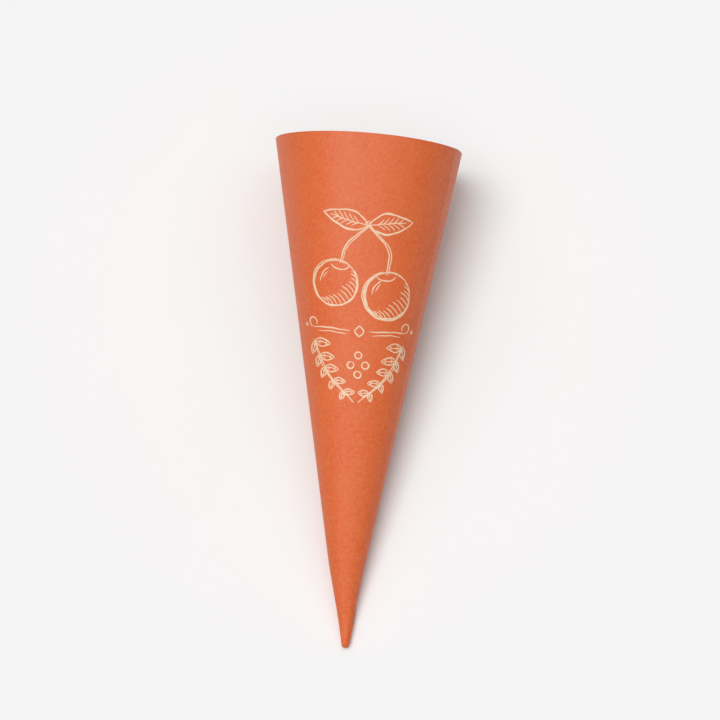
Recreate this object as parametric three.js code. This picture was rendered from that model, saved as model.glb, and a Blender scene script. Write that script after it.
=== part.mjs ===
// Paper sleeve for an ice cream cone: one sheet of thin card, cut as a sector of a circle, rolled into
// a cone and glued where its two straight edges lap. The mouth is open, and so is the small tip.
//
// Millimetres, +Z up. The sleeve lies on its side as it does on a table, mouth towards +Y and tip
// towards -Y. The origin is the middle of the underside of its bounding box.
//
// Every straight line from the sheet's apex down the cone is straight on the cut blank too, so a point
// of the card is given by its slant distance from the apex, its turn round the cone from 0 to 1, and
// its height in the thickness, counted outwards from the middle of the inner turn of card.

import * as THREE from "three";
import { mergeVertices } from "three/addons/utils/BufferGeometryUtils.js";

// Sizes of the card
const CARD_THICKNESS = 0.3;
const TIP_SLANT = 4.6; // from the apex, where the straight edges would meet, to the open tip
const SLEEVE_SLANT = 140; // from the open tip to the rim, along the card
const RIM_SKEW = 0.8; // how much further the rim reaches on the left than in the middle

// Sizes of the cone's cross-section, across the mouth
const MOUTH_WIDTH = 51.5; // between the middles of the card at the two sides
const MOUTH_HEIGHT = 47.4; // a little under the width, as the card is packed lying down
const REST_WIDTH = 7.2; // the flat stretch that the sleeve rests on, at the mouth
const FULLNESS = 2.3; // 2 is an ellipse, and more is squarer

// Sizes of the glued lap. It is narrower at the tip, but there it reaches most of the way round.
const LAP_AT_MOUTH = 10;
const LAP_AT_TIP = 3.2;
const LAP_START = -0.01; // turn of the inner edge, from the flat stretch's left end
const LAP_RAMP = 0.05; // share of a turn over which the outer edge's card climbs onto the inner

// Fineness
const LAP_COLUMNS = 24;
const SINGLE_COLUMNS = 56;
const STATIONS = 24;
const SECTION_DIVISIONS = 4000;

// The cone's straight lines, as unit vectors from the apex, with the axis along +Y. Their tips draw a
// closed curve on a sphere of radius 1, and its length is the angle of the blank without the lap.
class ConeDirections extends THREE.Curve {
  constructor() {
    super();
    this.arcLengthDivisions = SECTION_DIVISIONS;
    const rimSlant = TIP_SLANT + SLEEVE_SLANT;
    this.sideSlope = Math.tan(Math.asin(MOUTH_WIDTH / 2 / rimSlant));
    this.topSlope = Math.tan(Math.asin(MOUTH_HEIGHT / 2 / rimSlant));
    this.flatShare = REST_WIDTH / MOUTH_WIDTH;
  }

  // The section at half-width 1 and half-height 1. It runs along the flat stretch from left to right
  // while t is under flatTime, and then up the right side, over the top and down the left side.
  sectionPoint(t) {
    const flatTime = this.flatShare / 4;
    if (t < flatTime) return new THREE.Vector2(this.flatShare * ((2 * t) / flatTime - 1), -1);
    const angle = -Math.PI / 2 + (2 * Math.PI * (t - flatTime)) / (1 - flatTime);
    const across = Math.abs(Math.cos(angle));
    const up = Math.abs(Math.sin(angle));
    const reach = (across ** FULLNESS + up ** FULLNESS) ** (-1 / FULLNESS);
    const isUnder = Math.sin(angle) < 0;
    const x = isUnder ? this.flatShare + (1 - this.flatShare) * reach * across : reach * across;
    return new THREE.Vector2(x * Math.sign(Math.cos(angle)), reach * Math.sin(angle));
  }

  getPoint(t, target = new THREE.Vector3()) {
    const { x, y } = this.sectionPoint(t - Math.floor(t));
    return target.set(this.sideSlope * x, 1, this.topSlope * y).normalize();
  }
}

const directions = new ConeDirections();
const blankAngle = directions.getLength();

function wholeTurn(turn) {
  return turn - Math.floor(turn);
}

// The place of a point of the card.
function cardPoint(slant, turn, height) {
  const along = directions.getPointAt(wholeTurn(turn));
  const step = 1 / SECTION_DIVISIONS;
  const before = directions.getPointAt(wholeTurn(turn - step));
  const after = directions.getPointAt(wholeTurn(turn + step));
  const outwards = along.clone().cross(after.sub(before)).normalize();
  const rimShift = (-RIM_SKEW * along.x) / (directions.sideSlope * along.y);
  const share = (slant - TIP_SLANT) / SLEEVE_SLANT;
  return along.multiplyScalar(slant + rimShift * share).addScaledVector(outwards, height);
}

// The lap's width, as a share of a turn, at a slant distance from the apex.
function lapTurn(slant) {
  const share = (slant - TIP_SLANT) / SLEEVE_SLANT;
  const width = LAP_AT_TIP + (LAP_AT_MOUTH - LAP_AT_TIP) * share;
  return width / (slant * blankAngle);
}

// How far the single card has climbed towards lying on the inner edge, from 0 to 1.
function climb(turnBeforeInnerEdge) {
  const t = THREE.MathUtils.clamp(1 - turnBeforeInnerEdge / LAP_RAMP, 0, 1);
  return t * t * (3 - 2 * t);
}

// The section of the wall at one station, as columns round the cone: each has an inner and an outer
// point. The lap is two cards thick, and the rest is one, which climbs onto the inner edge at its end.
function stationColumns(slant) {
  const half = CARD_THICKNESS / 2;
  const lap = lapTurn(slant);
  const columns = [];
  for (let i = 0; i <= LAP_COLUMNS; i++) {
    const turn = LAP_START + (lap * i) / LAP_COLUMNS;
    columns.push({
      inner: cardPoint(slant, turn, -half),
      outer: cardPoint(slant, turn, half + CARD_THICKNESS),
    });
  }
  for (let i = 0; i <= SINGLE_COLUMNS; i++) {
    const passed = ((1 - lap) * i) / SINGLE_COLUMNS;
    const lift = CARD_THICKNESS * climb(1 - lap - passed);
    const turn = LAP_START + lap + passed;
    columns.push({
      inner: cardPoint(slant, turn, lift - half),
      outer: cardPoint(slant, turn, lift + half),
    });
  }
  return columns;
}

// Stations get further apart towards the mouth by a constant factor, as a cone's own sizes do.
function stationSlants() {
  const growth = (TIP_SLANT + SLEEVE_SLANT) / TIP_SLANT;
  return Array.from({ length: STATIONS + 1 }, (_, i) => TIP_SLANT * growth ** (i / STATIONS));
}

// One closed surface: the outside from tip to rim, the cut edge at the rim, the inside back to the
// tip, and the cut edge there.
function sleeveGeometry() {
  const rings = stationSlants().map(stationColumns);
  const corners = [];
  const addQuad = (a, b, c, d) => corners.push(a, b, c, a, c, d);
  const count = rings[0].length;
  for (let j = 0; j < count; j++) {
    const next = (j + 1) % count;
    for (let i = 0; i < STATIONS; i++) {
      const low = rings[i];
      const high = rings[i + 1];
      addQuad(low[next].outer, low[j].outer, high[j].outer, high[next].outer);
      addQuad(low[j].inner, low[next].inner, high[next].inner, high[j].inner);
    }
    const tip = rings[0];
    const rim = rings[STATIONS];
    addQuad(rim[next].outer, rim[j].outer, rim[j].inner, rim[next].inner);
    addQuad(tip[j].outer, tip[next].outer, tip[next].inner, tip[j].inner);
  }
  return withoutSlivers(mergeVertices(new THREE.BufferGeometry().setFromPoints(corners)));
}

// Where two columns share a point, a quad has lost a side, and its empty triangle is dropped.
function withoutSlivers(geometry) {
  const index = geometry.index.array;
  const kept = [];
  for (let i = 0; i < index.length; i += 3) {
    const [a, b, c] = index.subarray(i, i + 3);
    if (a !== b && b !== c && c !== a) kept.push(a, b, c);
  }
  geometry.setIndex(kept);
  geometry.computeVertexNormals();
  return geometry;
}

const card = new THREE.MeshStandardMaterial({ color: 0xe0703f, roughness: 0.75, metalness: 0 });

const sleeve = new THREE.Mesh(sleeveGeometry(), card);
sleeve.name = "sleeve";

// The cone is laid on its flat stretch, which is then level, and its box is centred over the origin.
const lyingSleeve = new THREE.Group();
lyingSleeve.add(sleeve);
lyingSleeve.rotation.x = Math.atan(directions.topSlope);
lyingSleeve.updateMatrixWorld(true);
const box = new THREE.Box3().setFromObject(lyingSleeve, true);
const middle = box.getCenter(new THREE.Vector3());
lyingSleeve.position.set(-middle.x, -middle.y, -box.min.z);

const part = new THREE.Group();
part.add(lyingSleeve);

export default part;
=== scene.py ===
# Looks of a card sleeve for an ice cream cone: the rolled sheet with its lap, cut edges and crease,
# and a sketched print on its upper side. Lengths are in millimetres until a mesh is made.

import math
import random

import bpy
import numpy as np
from mathutils import Matrix, Vector
from mathutils.geometry import delaunay_2d_cdt


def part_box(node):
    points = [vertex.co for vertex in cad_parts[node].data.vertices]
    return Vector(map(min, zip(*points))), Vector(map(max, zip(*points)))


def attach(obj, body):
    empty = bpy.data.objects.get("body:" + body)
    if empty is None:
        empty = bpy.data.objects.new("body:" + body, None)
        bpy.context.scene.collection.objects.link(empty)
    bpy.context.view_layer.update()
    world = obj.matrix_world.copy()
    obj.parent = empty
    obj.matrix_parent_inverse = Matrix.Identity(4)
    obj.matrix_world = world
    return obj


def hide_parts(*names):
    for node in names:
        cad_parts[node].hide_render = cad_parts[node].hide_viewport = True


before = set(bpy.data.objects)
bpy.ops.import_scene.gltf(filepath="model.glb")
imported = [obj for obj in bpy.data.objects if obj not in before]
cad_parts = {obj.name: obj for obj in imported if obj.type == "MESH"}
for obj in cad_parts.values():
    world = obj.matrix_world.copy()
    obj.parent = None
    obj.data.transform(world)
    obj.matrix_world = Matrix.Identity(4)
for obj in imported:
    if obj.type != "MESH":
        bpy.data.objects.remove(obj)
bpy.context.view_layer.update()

MM = 0.001

# Sizes of the card and of its cone, as the solid has them
CARD_THICKNESS = 0.3
TIP_SLANT = 4.6
SLEEVE_SLANT = 140
RIM_SLANT = TIP_SLANT + SLEEVE_SLANT
RIM_SKEW = 0.8
MOUTH_WIDTH = 51.5
MOUTH_HEIGHT = 47.4
REST_WIDTH = 7.2
FULLNESS = 2.3  # exponent of the section, where 2 is an ellipse and more is squarer
LAP_AT_MOUTH = 10
LAP_AT_TIP = 3.2
LAP_START = -0.01
LAP_RAMP = 0.05
SIDE_SLOPE = math.tan(math.asin(MOUTH_WIDTH / 2 / RIM_SLANT))
TOP_SLOPE = math.tan(math.asin(MOUTH_HEIGHT / 2 / RIM_SLANT))
FLAT_SHARE = REST_WIDTH / MOUTH_WIDTH
SECTION_DIVISIONS = 16000
FLOOR_HEIGHT = -CARD_THICKNESS * 1.5  # from the cone's own surface, as the lap's outer card rests on it

# The finer form of the sheet, which the solid leaves out
GLUE_LINE = 0.02
CREASE_TURN = 0.346
CREASE_HEIGHT = 0.34
CREASE_REACH = 0.035  # share of a turn on each side over which the crease's ridge dies away
CREASE_START = 16  # slant at which the crease begins
CREASE_FULL = 50  # slant from which it has its full share of the height
WAVE_HEIGHT = 0.12
WAVES = ((0.6, 2.4, 0.1), (0.4, 5.3, 0.6))  # each one's share of the height, count in a turn and phase
WAVES_FROM = 0.1  # turn
WAVES_TO = 0.94  # turn
WAVES_FADE = 0.12  # share of a turn over which they come and go, so that the lap stays even
TIP_TIGHTENING = 0.12  # share by which the rolled tip is tighter than the cone
TIP_LEAN = 0.6
TIP_REACH = 25
TIP_ROLL = 0.16  # share by which the very end of the tip is rolled in
TIP_ROLL_REACH = 0.9

# Fineness of the sheet's mesh
WELD_STEP = 1e-4
SHARP_ANGLE = math.radians(35)
CREASE_CLEAR_OF_LAP = 0.05  # share of a turn
LAP_COLUMNS = 26
RIGHT_COLUMNS = 90
OVER_COLUMNS = 170
STATIONS = 96

# The flattened sheet, on which the bake's places lie
BLANK_MARGIN = 4
CUT_EDGE_PLACE = 1.2  # width that a cut edge takes there

# Camera at the photograph's viewing angle
PICTURE_PIXELS = 720
FOCAL_PIXELS = 2000
SENSOR_WIDTH = 36
EYE = Vector((0.587, -109.28, 553.32)) * MM
CAMERA_TILT = math.radians(12.24)
CAMERA_ROLL = math.radians(3.053)

# Light
SOFTBOX_LIGHT = 0.48  # share of the floor's light
SOFTBOX_ANGLE = math.radians(100)
SOFTBOX_FROM = Vector((0, 0.22, 1))
KEY_LIGHT = 0.52
KEY_ANGLE = math.radians(34)
KEY_FROM = Vector((-0.31, -0.02, 1))
SKY_STRENGTH = 0.03
BACKDROP_WHITE = 0.92
FLOOR_WIDTH = 6000
FLOOR_GAP = 0.02
FLOOR_WHITES = ((0.915, 0.91, 0.91, 1), (0.925, 0.92, 0.92, 1))
FLOOR_CLOUD = 60.0
FLOOR_BY_CARD = (0.845, 0.91, 0.91, 1)  # keeps the floor neutral under the card's warm bounce light
BY_CARD_SHIFT = (0, -26, 0)
BY_CARD_STRETCH = (1.4, 1, 1)
BY_CARD_FROM = 15
BY_CARD_TO = 85

# Place and pen of the print
PRINT_SLANT = 98.4  # of the print's middle
PEN_WIDTH = 0.36
FINE_PEN = PEN_WIDTH * 0.7
PEN_STEP = 0.6
PEN_SHAKE = 0.1
SHAKE_LENGTHS = (9.0, 3.7)
PEN_PRESSURE = 0.14  # share by which a line swells and thins
INK_ABOVE = 0.025
INK_BELOW = 0.05
PRINT_SEED = 7
PRINT_MARGIN = 0.02  # of the bake, round the flat print
UNDER_SIDE_PLACE = (0.74, 0.02)  # beside the top on the bake
UNDER_SIDE_SHARE = 0.25
WALL_PLACE = 0.1  # width that a wall of the ink film takes on the flat print

# The print's picture, with x to the right of its middle and y towards the mouth
STEM_JOINT = (1.0, 21.6)
LEFT_CHERRY = (-7.2, 5.6)
LEFT_CHERRY_RADIUS = 6.4
RIGHT_CHERRY = (7.4, 3.2)
RIGHT_CHERRY_RADIUS = 6.7
LEFT_BEND = (-4.6, 16.2)
RIGHT_BEND = (6.6, 15.2)
LEFT_LEAF_TIP = (-11.4, 24.4)
RIGHT_LEAF_TIP = (13.2, 23.2)
DIVIDER_Y = -6.9
SPRIG_TOP = (12.6, -10.4)
SPRIG_KNEE = (8.2, -18.6)
SPRIG_FOOT = (0.5, -26.2)
SPRIG_LEAVES = 5
BERRY_RADIUS = 0.95
BERRIES = ((0, -13.4), (-1.9, -16.2), (2.0, -16.0), (0.1, -18.6))

# Colours, as values of 0 to 255 on screen
OUTSIDE_DARK = (216, 83, 25)
OUTSIDE_LIGHT = (223, 113, 57)
RIM_TONE = (214, 98, 54)
# Lighter tone on the crease's ridge: partly worn card, partly a painted highlight where the ridge catches the
# light
CREASE_WEAR_AND_HIGHLIGHT_TONE = (240, 150, 110)
INSIDE_DARK = (205, 100, 60)
INSIDE_LIGHT = (214, 112, 71)
CUT_EDGE_DARK = (203, 92, 50)
CUT_EDGE_LIGHT = (222, 112, 68)
INK_THIN = (235, 193, 153)
INK_FULL = (247, 219, 188)

# Sockets of the Mix node when it mixes colours, which share their names with its other ones
MIX_COLOUR_INPUTS = (0, 6, 7)
MIX_COLOUR_OUTPUT = 2

# Surface of the card and of the ink
CARD_GLOSS = 0.54
CARD_ROUGHNESS = 0.51
INSIDE_ROUGHNESS = 0.7
CUT_EDGE_ROUGHNESS = 0.85
INK_ROUGHNESS = 0.55
ROUGHNESS_SPREAD = 0.05
TOOTH_DEPTH = 0.009
CUT_EDGE_DEPTH = 0.03
INK_DEPTH = 0.006
TOOTH_SIZE = 0.4
GLOSS_PATCH = 1.5
GRAIN_SIZE = 0.75
CLOUD_SIZE = 8.0
# size of the patches of the crease's wear and painted highlight
WEAR_AND_HIGHLIGHT_SIZE = 1.2
INK_GRAIN = 0.35
RIM_LINE = 0.6  # width of the tone along the rim


def smooth_step(share):
    share = np.clip(share, 0, 1)
    return share * share * (3 - 2 * share)


# The cone that the sheet is rolled into. A point of the sheet is given by its slant distance from the
# apex, its turn round the cone from 0 at the resting strip's left end, and its height outwards.
# A turn is a share of the developed angle.


def section_direction(time):
    """Unit vectors from the apex, for times from 0 to 1 round the section."""
    flat_time = FLAT_SHARE / 4
    angle = -math.pi / 2 + 2 * math.pi * (time - flat_time) / (1 - flat_time)
    across = np.abs(np.cos(angle))
    up = np.abs(np.sin(angle))
    reach = (across**FULLNESS + up**FULLNESS) ** (-1 / FULLNESS)
    under_x = FLAT_SHARE + (1 - FLAT_SHARE) * reach * across
    x = np.where(np.sin(angle) < 0, under_x, reach * across) * np.sign(np.cos(angle))
    z = reach * np.sin(angle)
    is_flat = time < flat_time
    x = np.where(is_flat, FLAT_SHARE * (2 * time / flat_time - 1), x)
    z = np.where(is_flat, -1.0, z)
    return unit(np.stack([SIDE_SLOPE * x, np.ones_like(x), TOP_SLOPE * z], axis=-1))


def unit(vectors):
    return vectors / np.linalg.norm(vectors, axis=-1, keepdims=True)


class Cone:
    """The cone's straight lines by turn."""

    def __init__(self):
        self.times = np.linspace(0, 1, SECTION_DIVISIONS + 1)
        ends = section_direction(self.times)
        steps = np.linalg.norm(np.diff(ends, axis=0), axis=1)
        lengths = np.concatenate([[0], np.cumsum(steps)])
        self.blank_angle = lengths[-1]
        self.turns = lengths / lengths[-1]
        self.top_turn = 0.5 + 0.5 * np.interp(FLAT_SHARE / 4, self.times, self.turns)

    def along(self, turn):
        return section_direction(np.interp(turn % 1, self.turns, self.times))

    def outwards(self, turn):
        step = 2 / SECTION_DIVISIONS
        return unit(np.cross(self.along(turn), self.along(turn + step) - self.along(turn - step)))


cone = Cone()


def plain_point(slant, turn, height):
    """A point of the even cone, with its apex at the origin and its axis along Y."""
    along = cone.along(turn)
    share = (slant - TIP_SLANT) / SLEEVE_SLANT
    rim_shift = -RIM_SKEW * along[..., 0] / (SIDE_SLOPE * along[..., 1])
    reach = slant + rim_shift * share
    return along * reach[..., None] + cone.outwards(turn) * height[..., None]


def laid_down(points):
    """The points with the cone turned so that its resting strip is level."""
    tilt = math.atan(TOP_SLOPE)
    x, y, z = np.moveaxis(points, -1, 0)
    level_y = y * math.cos(tilt) - z * math.sin(tilt)
    level_z = y * math.sin(tilt) + z * math.cos(tilt)
    return np.stack([x, level_y, level_z], axis=-1)


def way_to_frame():
    """The shift that puts the laid cone's box where the frame has it."""
    turn = np.linspace(0, 1, 2000)
    half = np.full_like(turn, CARD_THICKNESS / 2)
    rim = laid_down(plain_point(np.full_like(turn, RIM_SLANT), turn, half))
    tip = laid_down(plain_point(np.full_like(turn, TIP_SLANT), turn, half))
    lowest, highest = (np.array(corner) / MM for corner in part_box("sleeve"))
    middle_y = (rim[:, 1].max() + tip[:, 1].min()) / 2
    return np.array([0, (lowest[1] + highest[1]) / 2 - middle_y, lowest[2] - FLOOR_HEIGHT])


FRAME_SHIFT = way_to_frame()


def crease_ridge(slant, turn):
    """How far a fold that was pressed flat once still stands up, as a share of its full height."""
    rise = smooth_step((slant - CREASE_START) / (CREASE_FULL - CREASE_START))
    away = np.clip(np.abs(turn - CREASE_TURN) / CREASE_REACH, 0, 1)
    return rise * (1 - away) ** 2


def card_sag(slant, turn):
    """Height of the sheet's own unevenness. It grows with the slant, so that lines stay straight."""
    share = slant / RIM_SLANT
    turn = turn % 1
    clear_of_lap = smooth_step((turn - WAVES_FROM) / WAVES_FADE) * smooth_step((WAVES_TO - turn) / WAVES_FADE)
    wave = sum(part * np.sin(2 * math.pi * (count * turn + phase)) for part, count, phase in WAVES)
    return share * (WAVE_HEIGHT * wave * clear_of_lap + CREASE_HEIGHT * crease_ridge(slant, turn))


def card_point(slant, turn, height):
    """A point of the real sheet in the frame, in millimetres."""
    slant, turn, height = np.broadcast_arrays(slant, turn, height)
    points = laid_down(plain_point(slant, turn, height + card_sag(slant, turn)))
    nearness = smooth_step(1 - (slant - TIP_SLANT) / TIP_REACH)
    at_end = 1 - np.clip((slant - TIP_SLANT) / TIP_ROLL_REACH, 0, 1)
    tightness = 1 - TIP_TIGHTENING * nearness - TIP_ROLL * at_end**2
    points[..., 0] = points[..., 0] * tightness + TIP_LEAN * nearness
    points[..., 2] = FLOOR_HEIGHT + (points[..., 2] - FLOOR_HEIGHT) * tightness
    return points + FRAME_SHIFT


def lap_turn(slant):
    """Width of the lap as a share of a turn."""
    share = (slant - TIP_SLANT) / SLEEVE_SLANT
    width = LAP_AT_TIP + (LAP_AT_MOUTH - LAP_AT_TIP) * share
    return width / (slant * cone.blank_angle)


# The sheet: one strip of card that runs once round the cone and on over its own beginning


def station_slants():
    """Slants of the mesh's rows, closer together towards the tip."""
    even = np.linspace(0, 1, STATIONS + 1)
    return TIP_SLANT * (RIM_SLANT / TIP_SLANT) ** even


def column_turns(slant):
    """Turns of the sheet's columns at one slant, from its inner edge to its outer edge."""
    lap = lap_turn(slant)
    crease = max(CREASE_TURN, LAP_START + lap + CREASE_CLEAR_OF_LAP)
    stretches = [
        np.linspace(LAP_START, LAP_START + lap, LAP_COLUMNS + 1)[:-1],
        np.linspace(LAP_START + lap, crease, RIGHT_COLUMNS + 1)[:-1],
        np.linspace(crease, LAP_START + 1, OVER_COLUMNS + 1)[:-1],
        np.linspace(LAP_START + 1, LAP_START + 1 + lap, LAP_COLUMNS + 1),
    ]
    return np.concatenate(stretches)


def sheet_height(turn):
    """Height of the sheet's middle: it climbs onto its own beginning before it laps it."""
    return CARD_THICKNESS * smooth_step((turn - (LAP_START + 1 - LAP_RAMP)) / LAP_RAMP)


BLANK_HEIGHT = RIM_SLANT + 2 * BLANK_MARGIN
BLANK_HALF_ANGLE = 0.5 * cone.blank_angle * (1 + lap_turn(RIM_SLANT))
BLANK_HALF_WIDTH = RIM_SLANT * math.sin(BLANK_HALF_ANGLE) + 2 * BLANK_MARGIN
BLANK_STEP = (BLANK_MARGIN + BLANK_HEIGHT * math.sin(BLANK_HALF_ANGLE)) / math.cos(BLANK_HALF_ANGLE)
BLANK_SQUARE = 2 * BLANK_HALF_WIDTH + BLANK_STEP


def blank_place(slant, turn, is_inside):
    """Place on the flat blank, with the two faces of the card laid head to tail."""
    angle = (turn - LAP_START - 0.5 - lap_turn(RIM_SLANT) / 2) * cone.blank_angle
    x, y = slant * np.sin(angle), slant * np.cos(angle)
    if not is_inside:
        return BLANK_HALF_WIDTH + x, BLANK_MARGIN + y
    return BLANK_HALF_WIDTH + BLANK_STEP - x, BLANK_HEIGHT - BLANK_MARGIN - y


class MeshDraft:
    """Grids of points with their values, which become one mesh."""

    def __init__(self):
        self.points = []
        self.faces = []
        self.places = []
        self.slots = []
        self.values = {}

    def add_grid(self, points, places, slot, is_flipped=False, **values):
        rows, columns = points.shape[:2]
        start = sum(len(block) for block in self.points)
        index = start + np.arange(rows * columns).reshape(rows, columns)
        quads = np.stack([index[:-1, :-1], index[:-1, 1:], index[1:, 1:], index[1:, :-1]], axis=-1)
        quads = quads.reshape(-1, 4)
        self.faces.append(quads[:, ::-1] if is_flipped else quads)
        self.slots.append(np.full(len(quads), slot))
        self.points.append(points.reshape(-1, 3))
        self.places.append(np.stack(places, axis=-1).reshape(-1, 2))
        for name, value in values.items():
            self.values.setdefault(name, []).append(np.broadcast_to(value, (rows, columns)).ravel())

    def build(self, name, materials):
        points = np.concatenate(self.points)
        faces = np.concatenate(self.faces)
        keys = np.round(points / WELD_STEP).astype(np.int64)
        _, first, merged = np.unique(keys, axis=0, return_index=True, return_inverse=True)
        merged = merged.ravel()
        mesh = bpy.data.meshes.new(name)
        corners = merged[faces]
        mesh.from_pydata((points[first] * MM).tolist(), [], corners.tolist())
        for material in materials:
            mesh.materials.append(material)
        mesh.polygons.foreach_set("material_index", np.concatenate(self.slots))
        layer = mesh.uv_layers.new(name="OFBake")
        places = np.concatenate(self.places)[faces.ravel()] / BLANK_SQUARE
        layer.uv.foreach_set("vector", places.ravel())
        for key, blocks in self.values.items():
            layer = mesh.attributes.new(key, "FLOAT", "POINT")
            layer.data.foreach_set("value", np.concatenate(blocks)[first])
        return finished_object(name, mesh)


def finished_object(name, mesh):
    mesh.validate()
    mesh.polygons.foreach_set("use_smooth", [True] * len(mesh.polygons))
    mesh.set_sharp_from_angle(angle=SHARP_ANGLE)
    mesh.update()
    piece = bpy.data.objects.new(name, mesh)
    bpy.context.scene.collection.objects.link(piece)
    return piece


class Sheet:
    """The rolled card, whose material slots are its outside, its inside and its cut edges."""

    def __init__(self):
        rows = station_slants()
        self.turns = np.array([column_turns(slant) for slant in rows])
        self.slants = np.broadcast_to(rows[:, None], self.turns.shape)
        self.to_rim = RIM_SLANT - self.slants
        self.crease = crease_ridge(self.slants, self.turns)
        heights = sheet_height(self.turns)
        half = (CARD_THICKNESS - GLUE_LINE) / 2
        self.outside = card_point(self.slants, self.turns, heights + half)
        self.inside = card_point(self.slants, self.turns, heights - half)
        self.draft = MeshDraft()

    def add_faces(self):
        values = {"to_rim": self.to_rim, "crease": self.crease}
        outside_place = blank_place(self.slants, self.turns, False)
        inside_place = blank_place(self.slants, self.turns, True)
        self.draft.add_grid(self.outside, outside_place, 0, is_flipped=True, **values)
        self.draft.add_grid(self.inside, inside_place, 1, **values)

    def add_round_edge(self, row, way, is_flipped):
        """The cut edge at the rim or the tip."""
        slants, turns = self.slants[row], self.turns[row]
        near = blank_place(slants, turns, False)
        far = blank_place(slants + way * CUT_EDGE_PLACE, turns, False)
        place = [np.stack([near[k], far[k]]) for k in range(2)]
        grid = np.stack([self.outside[row], self.inside[row]])
        self.draft.add_grid(grid, place, 2, is_flipped=is_flipped, to_rim=0.0, crease=self.crease[row])

    def add_straight_edge(self, column, way, is_flipped):
        """The cut edge at one end of the lap."""
        x, y = blank_place(self.slants[:, column], self.turns[:, column], False)
        place = [np.stack([x, x + way * CUT_EDGE_PLACE]), np.stack([y, y])]
        grid = np.stack([self.outside[:, column], self.inside[:, column]])
        to_rim = self.to_rim[:, column]
        self.draft.add_grid(grid, place, 2, is_flipped=is_flipped, to_rim=to_rim, crease=0.0)


def add_sheet(materials):
    sheet = Sheet()
    sheet.add_faces()
    sheet.add_round_edge(-1, 1, is_flipped=True)
    sheet.add_round_edge(0, -1, is_flipped=False)
    sheet.add_straight_edge(0, -1, is_flipped=True)
    sheet.add_straight_edge(-1, 1, is_flipped=False)
    return sheet.draft.build("card_sheet", materials)


# The print: pen strokes in the plane of the flattened sheet


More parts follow.
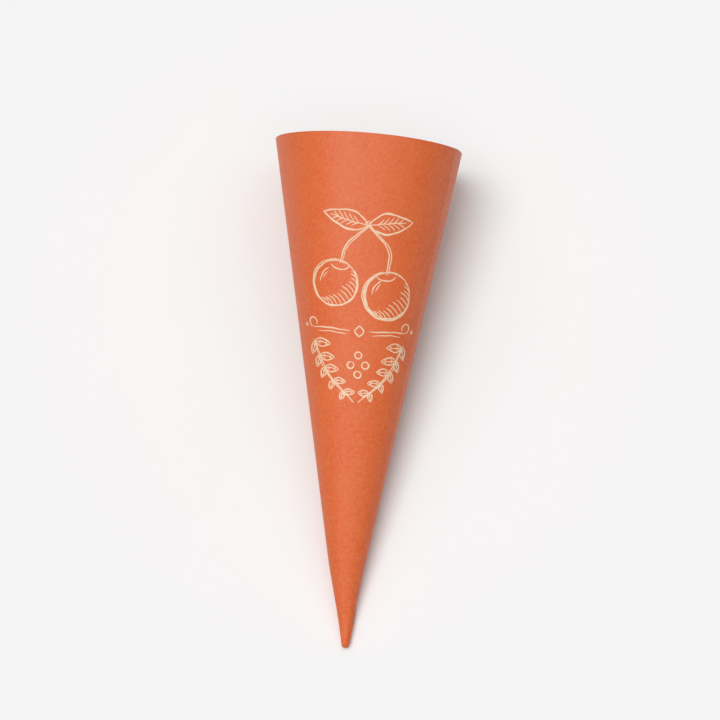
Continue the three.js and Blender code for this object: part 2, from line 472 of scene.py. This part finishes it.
class Sketch:
    """Pen strokes as quads that may lie over each other."""

    def __init__(self, seed):
        self.chance = random.Random(seed)
        self.quads = []

    def stroke(self, points, width=PEN_WIDTH, shake=PEN_SHAKE, thin_ends=0.35):
        line = even_steps(smooth_line(points), PEN_STEP)
        line = self.shaken(line, shake)
        count = len(line)
        share = np.linspace(0, 1, count)
        swell = thin_ends + (1 - thin_ends) * np.sin(math.pi * share) ** 0.35
        beats = share * self.chance.uniform(0.6, 2.2) + self.chance.random()
        pressure = 1 + PEN_PRESSURE * np.sin(2 * math.pi * beats)
        side = left_of(line) * (swell * pressure * width / 2)[:, None]
        left, right = line + side, line - side
        for i in range(count - 1):
            self.quads.append((right[i], right[i + 1], left[i + 1], left[i]))

    def shaken(self, line, shake):
        length = PEN_STEP * len(line)
        place = np.linspace(0, length, len(line))
        shift = np.zeros(len(line))
        for wavelength in SHAKE_LENGTHS:
            phase = self.chance.random()
            shift += 0.5 * shake * np.sin(2 * math.pi * (place / wavelength + phase))
        return line + left_of(line) * shift[:, None]

    def loop(self, centre, radii, start, sweep, **pen):
        """Part of an ellipse, with angles in degrees."""
        angles = np.radians(np.linspace(start, start + sweep, max(4, round(abs(sweep) / 24))))
        x = centre[0] + radii[0] * np.cos(angles)
        y = centre[1] + radii[1] * np.sin(angles)
        self.stroke(np.stack([x, y], axis=1), **pen)

    def rough_circle(self, centre, radius, turns=4):
        """Several loops that miss each other a little. The first one closes."""
        for number in range(turns):
            wide = radius * self.chance.uniform(0.94, 1.04)
            high = radius * self.chance.uniform(0.94, 1.04)
            start = self.chance.uniform(40, 170)
            least, most = (366, 384) if number == 0 else (230, 350)
            sweep = self.chance.uniform(least, most)
            drift = 0.04 * radius
            offset = [centre[k] + self.chance.uniform(-drift, drift) for k in range(2)]
            self.loop(offset, (wide, high), start, sweep, width=PEN_WIDTH * self.chance.uniform(0.7, 1))

    def nudge(self, most):
        return np.array([self.chance.uniform(-most, most), self.chance.uniform(-most, most)])

    def leaf(self, base, tip, bulge, veins=5, is_small=False):
        """A pointed leaf with its veins. Shares are of its length and of its bulge."""
        base, tip = np.array(base, float), np.array(tip, float)
        along = tip - base
        side = np.array([-along[1], along[0]]) / np.linalg.norm(along) * bulge
        for way in (-1, 1):
            belly = base + along * 0.42 + side * way
            shoulder = base + along * 0.78 + side * way * 0.55
            outline = [base, base + along * 0.16 + side * way * 0.62, belly, shoulder, tip]
            self.stroke(outline)
            if not is_small:
                again = [point + self.nudge(0.28) for point in outline[:-1]] + [tip]
                self.stroke(again, width=PEN_WIDTH * 0.75)
        self.stroke([base, base + along * 0.5 + side * 0.08, base + along * 0.84], width=PEN_WIDTH * 0.8)
        for k in range(veins):
            share = 0.2 + 0.44 * k / (veins - 1)
            root = base + along * share
            for way in (-1, 1):
                end = base + along * (share + 0.15) + side * way * 0.66 * math.sin(math.pi * (share + 0.12))
                self.stroke([root, (root + end) / 2 + along * 0.02, end], width=PEN_WIDTH * 0.65, shake=0.04)

    def cherry(self, centre, radius, dimple):
        """A round fruit with a dimple, two gleams and hatching. Shares are of its radius."""
        self.rough_circle(centre, radius)
        hollow = (centre[0] + dimple, centre[1] + radius * 0.82)
        self.loop(hollow, (radius * 0.4, radius * 0.24), 190, 160)
        self.loop(centre, (radius * 0.68, radius * 0.68), 118, 62, width=PEN_WIDTH * 0.9)
        self.loop(centre, (radius * 0.56, radius * 0.56), 128, 36, width=FINE_PEN)
        count = 13
        for k in range(count):
            share = k / (count - 1)
            angle = math.radians(-116 + 138 * share)
            outer = np.array([math.cos(angle), math.sin(angle)]) * radius * 0.93
            depth = radius * (0.28 + 0.34 * math.sin(math.pi * share)) * self.chance.uniform(0.85, 1.1)
            inner = outer + np.array([-0.72, 0.69]) * depth
            middle = (outer + inner) / 2 + np.array([0.2, 0.25])
            origin = np.array(centre)
            self.stroke([origin + outer, origin + middle, origin + inner], width=PEN_WIDTH * 0.72)

    def berry(self, centre, radius):
        self.rough_circle(centre, radius, turns=3)

    def stem(self, centre, bend):
        """Two lines from the joint to the top of a cherry."""
        foot = (centre[0] * 0.86, centre[1] + 5.4)
        self.stroke([STEM_JOINT, bend, foot])
        beside = [(STEM_JOINT[0] + 0.5, STEM_JOINT[1]), (bend[0] + 0.7, bend[1]), (foot[0] + 0.5, foot[1])]
        self.stroke(beside, width=FINE_PEN)

    def sprig(self, side):
        """A leafy branch from one end of the divider down to the lowest point."""
        top, knee, foot = np.array(SPRIG_TOP), np.array(SPRIG_KNEE), np.array(SPRIG_FOOT)
        mirror = np.array((side, 1))
        self.stroke([top * mirror, knee * mirror, foot * mirror])
        beside = [(top + (0.5, 0.2)) * mirror, (knee + (0.45, -0.2)) * mirror, foot * mirror]
        self.stroke(beside, width=FINE_PEN)
        branch = even_steps(smooth_line([top, knee, foot]), 0.5)
        for k in range(SPRIG_LEAVES):
            share = 0.04 + 0.19 * k
            root = branch[int(share * (len(branch) - 1))]
            length = 5.0 - 0.45 * k
            inward = root + np.array((-0.96, -0.02)) * length
            outward = root + np.array((0.28, -0.92)) * length * 0.8
            self.leaf(root * mirror, inward * mirror, 1.15 - 0.09 * k, veins=2, is_small=True)
            self.leaf(root * mirror, outward * mirror, 1.0 - 0.09 * k, veins=2, is_small=True)

    def divider(self, y):
        """A lozenge between two lines that end in a curl and a dot."""
        self.stroke([(0, y + 1.5), (1.25, y), (0, y - 1.5)], shake=0.02, thin_ends=0.8)
        self.stroke([(0, y + 1.5), (-1.25, y), (0, y - 1.5)], shake=0.02, thin_ends=0.8)
        for side in (-1, 1):
            self.stroke([(side * 2.6, y), (side * 8, y + 0.25), (side * 13.2, y)], shake=0.08)
            below = [(side * 3.4, y - 0.9), (side * 8, y - 0.7), (side * 11.6, y - 0.95)]
            self.stroke(below, width=FINE_PEN)
            self.loop((side * 13.3, y + 1.25), (1.3, 1.25), -90, side * 300)
            self.berry((side * 15.9, y + 0.2), 0.42)


def smooth_line(points, steps=10):
    """A curve through the points, at their own spacing."""
    points = np.array(points, float)
    ends = np.concatenate([[2 * points[0] - points[1]], points, [2 * points[-1] - points[-2]]])
    share = np.linspace(0, 1, steps, endpoint=False)[:, None]
    spans = []
    for before, start, end, after in zip(ends, ends[1:], ends[2:], ends[3:]):
        linear = end - before
        square = 2 * before - 5 * start + 4 * end - after
        cube = -before + 3 * start - 3 * end + after
        spans.append(start + 0.5 * (linear * share + square * share**2 + cube * share**3))
    return np.concatenate(spans + [points[-1:]])


def even_steps(line, step):
    """The line with its points about one step apart."""
    lengths = np.concatenate([[0], np.cumsum(np.linalg.norm(np.diff(line, axis=0), axis=1))])
    count = max(3, round(lengths[-1] / step) + 1)
    places = np.linspace(0, lengths[-1], count)
    return np.stack([np.interp(places, lengths, line[:, k]) for k in range(2)], axis=1)


def left_of(line):
    way = unit(np.gradient(line, axis=0))
    return np.stack([-way[:, 1], way[:, 0]], axis=1)


def cherry_sketch():
    sketch = Sketch(PRINT_SEED)
    sketch.cherry(LEFT_CHERRY, LEFT_CHERRY_RADIUS, dimple=1.2)
    sketch.cherry(RIGHT_CHERRY, RIGHT_CHERRY_RADIUS, dimple=-0.9)
    sketch.stem(LEFT_CHERRY, LEFT_BEND)
    sketch.stem(RIGHT_CHERRY, RIGHT_BEND)
    sketch.leaf(STEM_JOINT, LEFT_LEAF_TIP, 2.6)
    sketch.leaf(STEM_JOINT, RIGHT_LEAF_TIP, 2.8)
    knot = (STEM_JOINT[0], STEM_JOINT[1] + 0.5)
    sketch.loop(knot, (0.9, 0.6), 20, 330, width=PEN_WIDTH * 0.8)
    sketch.divider(DIVIDER_Y)
    for side in (-1, 1):
        sketch.sprig(side)
    for place in BERRIES:
        sketch.berry(place, BERRY_RADIUS)
    return sketch


def joined_strokes(quads):
    """Triangles of the area that the strokes cover together."""
    corners = [Vector(corner) for quad in quads for corner in quad]
    faces = [[4 * k + j for j in range(4)] for k in range(len(quads))]
    points, _, triangles, _, _, sources = delaunay_2d_cdt(corners, [], faces, 0, 1e-3, True)
    kept = [triangle for triangle, source in zip(triangles, sources) if source]
    return np.array([tuple(point) for point in points]), np.array(kept)


def ink_points(flat, height):
    """Points of the flat print laid on the card, at a height above it."""
    x, y = flat[:, 0], PRINT_SLANT + flat[:, 1]
    turn = cone.top_turn - np.arctan2(x, y) / cone.blank_angle
    return card_point(np.hypot(x, y), turn, np.full(len(x), CARD_THICKNESS / 2 + height))


def print_places(flat, triangles, border):
    """Places on the flat print for each face's corners: the top, the under side and then the walls."""
    low = flat.min(axis=0)
    scale = (1 - 2 * PRINT_MARGIN) / (flat.max(axis=0) - low).max()
    top = PRINT_MARGIN + (flat - low) * scale
    under = np.array(UNDER_SIDE_PLACE) + (flat - low) * scale * UNDER_SIDE_SHARE
    start, end = border[:, 0], border[:, 1]
    way = flat[end] - flat[start]
    outwards = unit(np.stack([way[:, 1], -way[:, 0]], axis=1)) * WALL_PLACE * scale
    walls = np.stack([top[end], top[start], top[start] + outwards, top[end] + outwards], axis=1)
    blocks = [top[triangles], under[triangles[:, ::-1]], walls]
    return np.concatenate([block.reshape(-1, 2) for block in blocks])


def border_sides(triangles):
    """The sides that belong to one triangle only."""
    sides = np.concatenate([triangles[:, [0, 1]], triangles[:, [1, 2]], triangles[:, [2, 0]]]).tolist()
    directed = {(a, b) for a, b in sides}
    return np.array([(a, b) for a, b in sides if (b, a) not in directed])


def film_faces(triangles, border, count):
    """Faces of a closed film, whose under side has the same corners as its top, count places on."""
    top = triangles.tolist()
    under = [[c + count, b + count, a + count] for a, b, c in top]
    walls = [[b, a, a + count, b + count] for a, b in border.tolist()]
    return top + under + walls


def add_print(material):
    """A thin closed film of ink that follows the card."""
    flat, triangles = joined_strokes(cherry_sketch().quads)
    used, corners = np.unique(triangles, return_inverse=True)
    triangles = corners.reshape(-1, 3)
    flat = flat[used]
    border = border_sides(triangles)
    points = np.concatenate([ink_points(flat, INK_ABOVE), ink_points(flat, -INK_BELOW)])
    mesh = bpy.data.meshes.new("print")
    mesh.from_pydata((points * MM).tolist(), [], film_faces(triangles, border, len(flat)))
    mesh.materials.append(material)
    layer = mesh.uv_layers.new(name="OFBake")
    layer.uv.foreach_set("vector", print_places(flat, triangles, border).ravel())
    return finished_object("print", mesh)


# Materials


def add_node(tree, kind, inputs=None, **settings):
    node = tree.nodes.new(kind)
    for name, value in settings.items():
        setattr(node, name, value)
    for name, value in (inputs or {}).items():
        if isinstance(value, bpy.types.NodeSocket):
            tree.links.new(value, node.inputs[name])
        else:
            node.inputs[name].default_value = value
    return node


def new_tree(name):
    material = bpy.data.materials.new(name)
    material.use_nodes = True
    material.node_tree.nodes.clear()
    return material, material.node_tree


def linear(values):
    """A colour for the shader from its values of 0 to 255 on screen."""
    shares = [value / 255 for value in values]
    curve = [s / 12.92 if s <= 0.04045 else ((s + 0.055) / 1.055) ** 2.4 for s in shares]
    return (*curve, 1.0)


def noise(tree, size, detail=2.0, roughness=0.5):
    """Noise from 0 to 1 with lumps of the given size in millimetres, fixed to the object."""
    place = add_node(tree, "ShaderNodeTexCoord").outputs["Object"]
    inputs = {"Vector": place, "Scale": 1 / (size * MM), "Detail": detail, "Roughness": roughness}
    return add_node(tree, "ShaderNodeTexNoise", inputs).outputs["Fac"]


def remap(tree, value, start, end, low=0.0, high=1.0):
    """The value with the stretch from start to end laid on the one from low to high, and held there."""
    inputs = {"Value": value, "From Min": start, "From Max": end, "To Min": low, "To Max": high}
    return add_node(tree, "ShaderNodeMapRange", inputs).outputs["Result"]


def blended(tree, share, first, second):
    node = add_node(tree, "ShaderNodeMix", data_type="RGBA")
    factor, a, b = (node.inputs[index] for index in MIX_COLOUR_INPUTS)
    for socket, value in ((factor, share), (a, first), (b, second)):
        if isinstance(value, bpy.types.NodeSocket):
            tree.links.new(value, socket)
        else:
            socket.default_value = value
    return node.outputs[MIX_COLOUR_OUTPUT]


def product(tree, first, second):
    node = add_node(tree, "ShaderNodeMath", {0: first, 1: second}, operation="MULTIPLY")
    return node.outputs[0]


def mesh_value(tree, name):
    return add_node(tree, "ShaderNodeAttribute", attribute_name=name).outputs["Fac"]


def card_colour(tree, dark, light):
    """Dyed card: fine grain in lumps, with broad mottling under it."""
    grain = remap(tree, noise(tree, GRAIN_SIZE, detail=4.0, roughness=0.75), 0.36, 0.64)
    colour = blended(tree, grain, linear(dark), linear(light))
    cloud = remap(tree, noise(tree, CLOUD_SIZE), 0.3, 0.7, high=0.35)
    return blended(tree, cloud, colour, linear(light))


def finish_card(tree, colour, roughness, depth):
    """Gives the material its surface, with a fine tooth of the given depth."""
    tooth = noise(tree, TOOTH_SIZE, detail=3.0, roughness=0.6)
    bump = add_node(tree, "ShaderNodeBump", {"Height": tooth, "Distance": depth * MM, "Strength": 1.0})
    least, most = roughness - ROUGHNESS_SPREAD, roughness + ROUGHNESS_SPREAD
    patchy = remap(tree, noise(tree, GLOSS_PATCH), 0.3, 0.7, least, most)
    shader = add_node(tree, "ShaderNodeBsdfPrincipled", {
        "Base Color": colour, "Roughness": patchy,
        "Normal": bump.outputs["Normal"], "Specular IOR Level": CARD_GLOSS,
    })
    add_node(tree, "ShaderNodeOutputMaterial", {"Surface": shader.outputs["BSDF"]})


def outside_material():
    material, tree = new_tree("card_outside")
    colour = card_colour(tree, OUTSIDE_DARK, OUTSIDE_LIGHT)
    at_rim = remap(tree, mesh_value(tree, "to_rim"), RIM_LINE / 4, RIM_LINE, low=0.75, high=0.0)
    colour = blended(tree, at_rim, colour, linear(RIM_TONE))
    # The crease's ridge is lightened in noisy patches: partly worn card, partly a painted highlight along the
    # ridge
    crease_wear_and_highlight_patches = remap(tree, noise(tree, WEAR_AND_HIGHLIGHT_SIZE), 0.35, 0.65, low=0.3)
    at_crease = remap(tree, mesh_value(tree, "crease"), 0.72, 1.0, high=0.4)
    colour = blended(tree, product(tree, at_crease, crease_wear_and_highlight_patches), colour, linear(CREASE_WEAR_AND_HIGHLIGHT_TONE))
    finish_card(tree, colour, CARD_ROUGHNESS, TOOTH_DEPTH)
    return material


def inside_material():
    material, tree = new_tree("card_inside")
    finish_card(tree, card_colour(tree, INSIDE_DARK, INSIDE_LIGHT), INSIDE_ROUGHNESS, TOOTH_DEPTH)
    return material


def cut_edge_material():
    material, tree = new_tree("card_cut_edge")
    colour = card_colour(tree, CUT_EDGE_DARK, CUT_EDGE_LIGHT)
    finish_card(tree, colour, CUT_EDGE_ROUGHNESS, CUT_EDGE_DEPTH)
    return material


def ink_material():
    material, tree = new_tree("ink")
    cover = remap(tree, noise(tree, INK_GRAIN, detail=3.0, roughness=0.6), 0.3, 0.62)
    colour = blended(tree, cover, linear(INK_THIN), linear(INK_FULL))
    finish_card(tree, colour, INK_ROUGHNESS, INK_DEPTH)
    return material


# Floor, light and camera


def floor_material():
    material, tree = new_tree("floor")
    white = blended(tree, noise(tree, FLOOR_CLOUD), *FLOOR_WHITES)
    place = add_node(tree, "ShaderNodeTexCoord").outputs["Object"]
    location = [length * MM for length in BY_CARD_SHIFT]
    shifted = {"Vector": place, "Location": location, "Scale": BY_CARD_STRETCH}
    middle = add_node(tree, "ShaderNodeMapping", shifted).outputs["Vector"]
    away = add_node(tree, "ShaderNodeVectorMath", {0: middle}, operation="LENGTH").outputs["Value"]
    white = blended(tree, remap(tree, away, BY_CARD_FROM * MM, BY_CARD_TO * MM), FLOOR_BY_CARD, white)
    shader = add_node(tree, "ShaderNodeBsdfDiffuse", {"Color": white})
    add_node(tree, "ShaderNodeOutputMaterial", {"Surface": shader.outputs["BSDF"]})
    return material


def add_floor():
    mesh = bpy.data.meshes.new("floor")
    half = FLOOR_WIDTH / 2 * MM
    level = -FLOOR_GAP * MM
    corners = [(-half, -half, level), (half, -half, level), (half, half, level), (-half, half, level)]
    mesh.from_pydata(corners, [], [(0, 1, 2, 3)])
    mesh.materials.append(floor_material())
    floor = bpy.data.objects.new("floor", mesh)
    bpy.context.scene.collection.objects.link(floor)


def add_lamp(name, floor_share, angle, come_from):
    """A far lamp of the given width across, which gives this share of the floor's light."""
    data = bpy.data.lights.new(name, "SUN")
    data.energy = math.pi * floor_share
    data.angle = angle
    lamp = bpy.data.objects.new(name, data)
    lamp.rotation_euler = come_from.to_track_quat("Z", "Y").to_euler()
    bpy.context.scene.collection.objects.link(lamp)


def either(tree, first, second):
    return add_node(tree, "ShaderNodeMath", {0: first, 1: second}, operation="MAXIMUM").outputs[0]


def set_sky():
    """A faint even sky, which shows as the pale backdrop where it is seen or mirrored."""
    world = bpy.data.worlds.new("sky")
    bpy.context.scene.world = world
    world.use_nodes = True
    tree = world.node_tree
    tree.nodes.clear()
    path = add_node(tree, "ShaderNodeLightPath").outputs
    seen = either(tree, path["Is Camera Ray"], path["Is Glossy Ray"])
    seen = either(tree, seen, path["Is Transmission Ray"])
    white = (BACKDROP_WHITE, BACKDROP_WHITE, BACKDROP_WHITE, 1)
    light = add_node(tree, "ShaderNodeBackground", {"Color": (1, 1, 1, 1), "Strength": SKY_STRENGTH})
    backdrop = add_node(tree, "ShaderNodeBackground", {"Color": white, "Strength": 1.0})
    mixed = {0: seen, 1: light.outputs["Background"], 2: backdrop.outputs["Background"]}
    both = add_node(tree, "ShaderNodeMixShader", mixed)
    add_node(tree, "ShaderNodeOutputWorld", {"Surface": both.outputs["Shader"]})


def add_camera():
    data = bpy.data.cameras.new("camera")
    data.sensor_width = SENSOR_WIDTH
    data.lens = SENSOR_WIDTH * FOCAL_PIXELS / PICTURE_PIXELS
    data.clip_start = 10 * MM
    forward = Vector((0, math.sin(CAMERA_TILT), -math.cos(CAMERA_TILT)))
    upright = Vector((0, math.cos(CAMERA_TILT), math.sin(CAMERA_TILT)))
    up = upright * math.cos(CAMERA_ROLL) - Vector((1, 0, 0)) * math.sin(CAMERA_ROLL)
    right = forward.cross(up)
    turned = Matrix((right, up, -forward)).transposed()
    camera = bpy.data.objects.new("camera", data)
    camera.matrix_world = Matrix.Translation(EYE) @ turned.to_4x4()
    bpy.context.scene.collection.objects.link(camera)
    bpy.context.scene.camera = camera


bpy.context.scene.view_settings.view_transform = "Standard"
add_camera()
add_floor()
add_lamp("softbox", SOFTBOX_LIGHT, SOFTBOX_ANGLE, SOFTBOX_FROM)
add_lamp("key", KEY_LIGHT, KEY_ANGLE, KEY_FROM)
set_sky()

sheet = add_sheet([outside_material(), inside_material(), cut_edge_material()])
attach(sheet, "root")
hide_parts("sleeve")

ink = add_print(ink_material())
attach(ink, "root")
